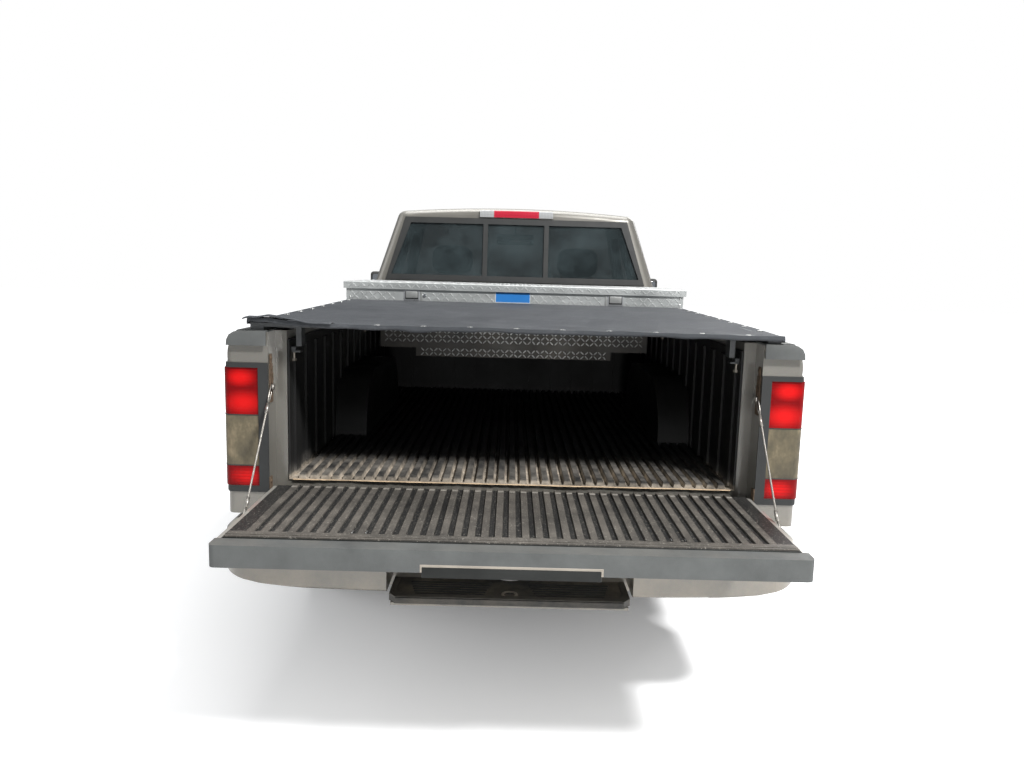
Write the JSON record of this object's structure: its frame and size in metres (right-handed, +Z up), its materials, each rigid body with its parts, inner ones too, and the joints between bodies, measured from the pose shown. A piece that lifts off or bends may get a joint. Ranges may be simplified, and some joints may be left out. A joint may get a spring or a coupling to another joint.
{
  "type": "pickup truck",
  "caption": "Compact extended-cab pickup truck with an open tailgate, ribbed bed liner, soft tonneau cover and a crossover tool box behind the cab.",
  "frame": {"origin": "on the ground under the middle of the overall length, open tailgate included", "axes": "+X to the driver's left, +Y towards the tail, so the front faces -Y, +Z up"},
  "size_m": [1.97, 5.362, 1.6258],
  "materials": {
    "paint": "satin",
    "frame_paint": "satin",
    "cast": "matte",
    "steel": "satin",
    "alloy": "satin",
    "tread_plate": "satin",
    "tyre": "matte",
    "black_plastic": "matte",
    "cap_plastic": "satin",
    "liner_plastic": "satin",
    "interior": "matte",
    "fabric": "matte",
    "vinyl": "satin",
    "rubber": "matte",
    "glass": "gloss",
    "lamp_red": "gloss",
    "lamp_clear": "gloss"
  },
  "bodies": {
    "truck": {"ladder_frame": "frame_paint", "power_train": "cast", "front_suspension": "frame_paint", "rear_suspension": "cast", "exhaust": "steel", "fuel_tank": "black_plastic", "spare_wheel": "tyre", "cab_sides": "paint", "cab_back": "paint", "cab_floor": "paint", "cab_roof": "paint", "cab_glass": "glass", "rear_window_frame": "rubber", "high_brake_lamp": "lamp_red", "front_fenders": "paint", "headlamps": "lamp_clear", "grille": "black_plastic", "front_structure": "frame_paint", "front_bumper": "paint", "dashboard": "interior", "front_seats": "fabric", "bed_sides": "paint", "bed_floor": "paint", "wheelhouses": "paint", "bed_liner": "liner_plastic", "bed_rail_caps": "cap_plastic", "tail_lamps": "lamp_red", "tail_lamp_bezels": "cap_plastic", "rear_bumper": "paint", "bumper_step_pad": "black_plastic", "tonneau_cover": "vinyl", "tonneau_rails": "alloy", "toolbox_tub": "tread_plate"},
    "toolbox_lid": {"toolbox_lid": "tread_plate"},
    "tailgate": {"tailgate": "paint", "tailgate_cap": "cap_plastic", "tailgate_liner": "liner_plastic", "tailgate_cables": "steel"},
    "hood": {"hood": "paint"},
    "steering_wheel": {"steering_wheel": "black_plastic"},
    "tie_rods": {"tie_rods": "steel"},
    "door_left": {"door_left": "paint", "door_glass_left": "glass", "mirror_left": "black_plastic"},
    "knuckle_left": {"knuckle_left": "cast"},
    "door_right": {"door_right": "paint", "door_glass_right": "glass", "mirror_right": "black_plastic"},
    "knuckle_right": {"knuckle_right": "cast"},
    "wheel_front_left": {"tyre_front_left": "tyre", "rim_front_left": "alloy"},
    "wheel_front_right": {"tyre_front_right": "tyre", "rim_front_right": "alloy"},
    "wheel_rear_left": {"tyre_rear_left": "tyre", "rim_rear_left": "alloy"},
    "wheel_rear_right": {"tyre_rear_right": "tyre", "rim_rear_right": "alloy"}
  },
  "joints": [
    {"name": "door_left_hinge", "type": "hinge", "parent": "truck", "child": "door_left", "pos_m": [0.817, -1.371, 0.765], "axis": [0, 0, -1], "range_deg": [0, 65]},
    {"name": "steer_left", "type": "hinge", "parent": "truck", "child": "knuckle_left", "pos_m": [0.64, -1.846, 0.3525], "axis": [0, 0, 1], "range_deg": [-33, 33]},
    {"name": "door_right_hinge", "type": "hinge", "parent": "truck", "child": "door_right", "pos_m": [-0.817, -1.371, 0.765], "axis": [0, 0, 1], "range_deg": [0, 65]},
    {"name": "steer_right", "type": "hinge", "parent": "truck", "child": "knuckle_right", "pos_m": [-0.64, -1.846, 0.3525], "axis": [0, 0, 1], "range_deg": [-33, 33]},
    {"name": "wheel_front_left_spin", "type": "hinge", "parent": "knuckle_left", "child": "wheel_front_left", "pos_m": [0.71, -1.846, 0.3525], "axis": [1, 0, 0], "continuous": true},
    {"name": "wheel_front_right_spin", "type": "hinge", "parent": "knuckle_right", "child": "wheel_front_right", "pos_m": [-0.71, -1.846, 0.3525], "axis": [1, 0, 0], "continuous": true},
    {"name": "wheel_rear_left_spin", "type": "hinge", "parent": "truck", "child": "wheel_rear_left", "pos_m": [0.71, 1.104, 0.3525], "axis": [1, 0, 0], "continuous": true},
    {"name": "wheel_rear_right_spin", "type": "hinge", "parent": "truck", "child": "wheel_rear_right", "pos_m": [-0.71, 1.104, 0.3525], "axis": [1, 0, 0], "continuous": true},
    {"name": "tailgate_hinge", "type": "hinge", "parent": "truck", "child": "tailgate", "pos_m": [0, 2.1725, 0.6085], "axis": [1, 0, 0], "range_deg": [0, 90], "deforming": ["tailgate_cables"]},
    {"name": "toolbox_lid_hinge", "type": "hinge", "parent": "truck", "child": "toolbox_lid", "pos_m": [0, 0.27, 1.193], "axis": [1, 0, 0], "range_deg": [0, 75]},
    {"name": "hood_hinge", "type": "hinge", "parent": "truck", "child": "hood", "pos_m": [0, -1.406, 1.052], "axis": [-1, 0, 0], "range_deg": [0, 50]},
    {"name": "steering_wheel_turn", "type": "hinge", "parent": "truck", "child": "steering_wheel", "pos_m": [0.365, -0.945, 0.985], "axis": [0, 0.8829, 0.4695], "range_deg": [-500, 500]},
    {"name": "tie_rod_slide", "type": "slide", "parent": "truck", "child": "tie_rods", "axis": [-1, 0, 0], "range_m": [-0.078, 0.078]}
  ],
  "couplings": [
    {"joint": "steer_right", "follows": "steer_left", "ratio": 1},
    {"joint": "steering_wheel_turn", "follows": "steer_left", "ratio": 15},
    {"joint": "tie_rod_slide", "follows": "steer_left", "m_per_rad": 0.13}
  ]
}
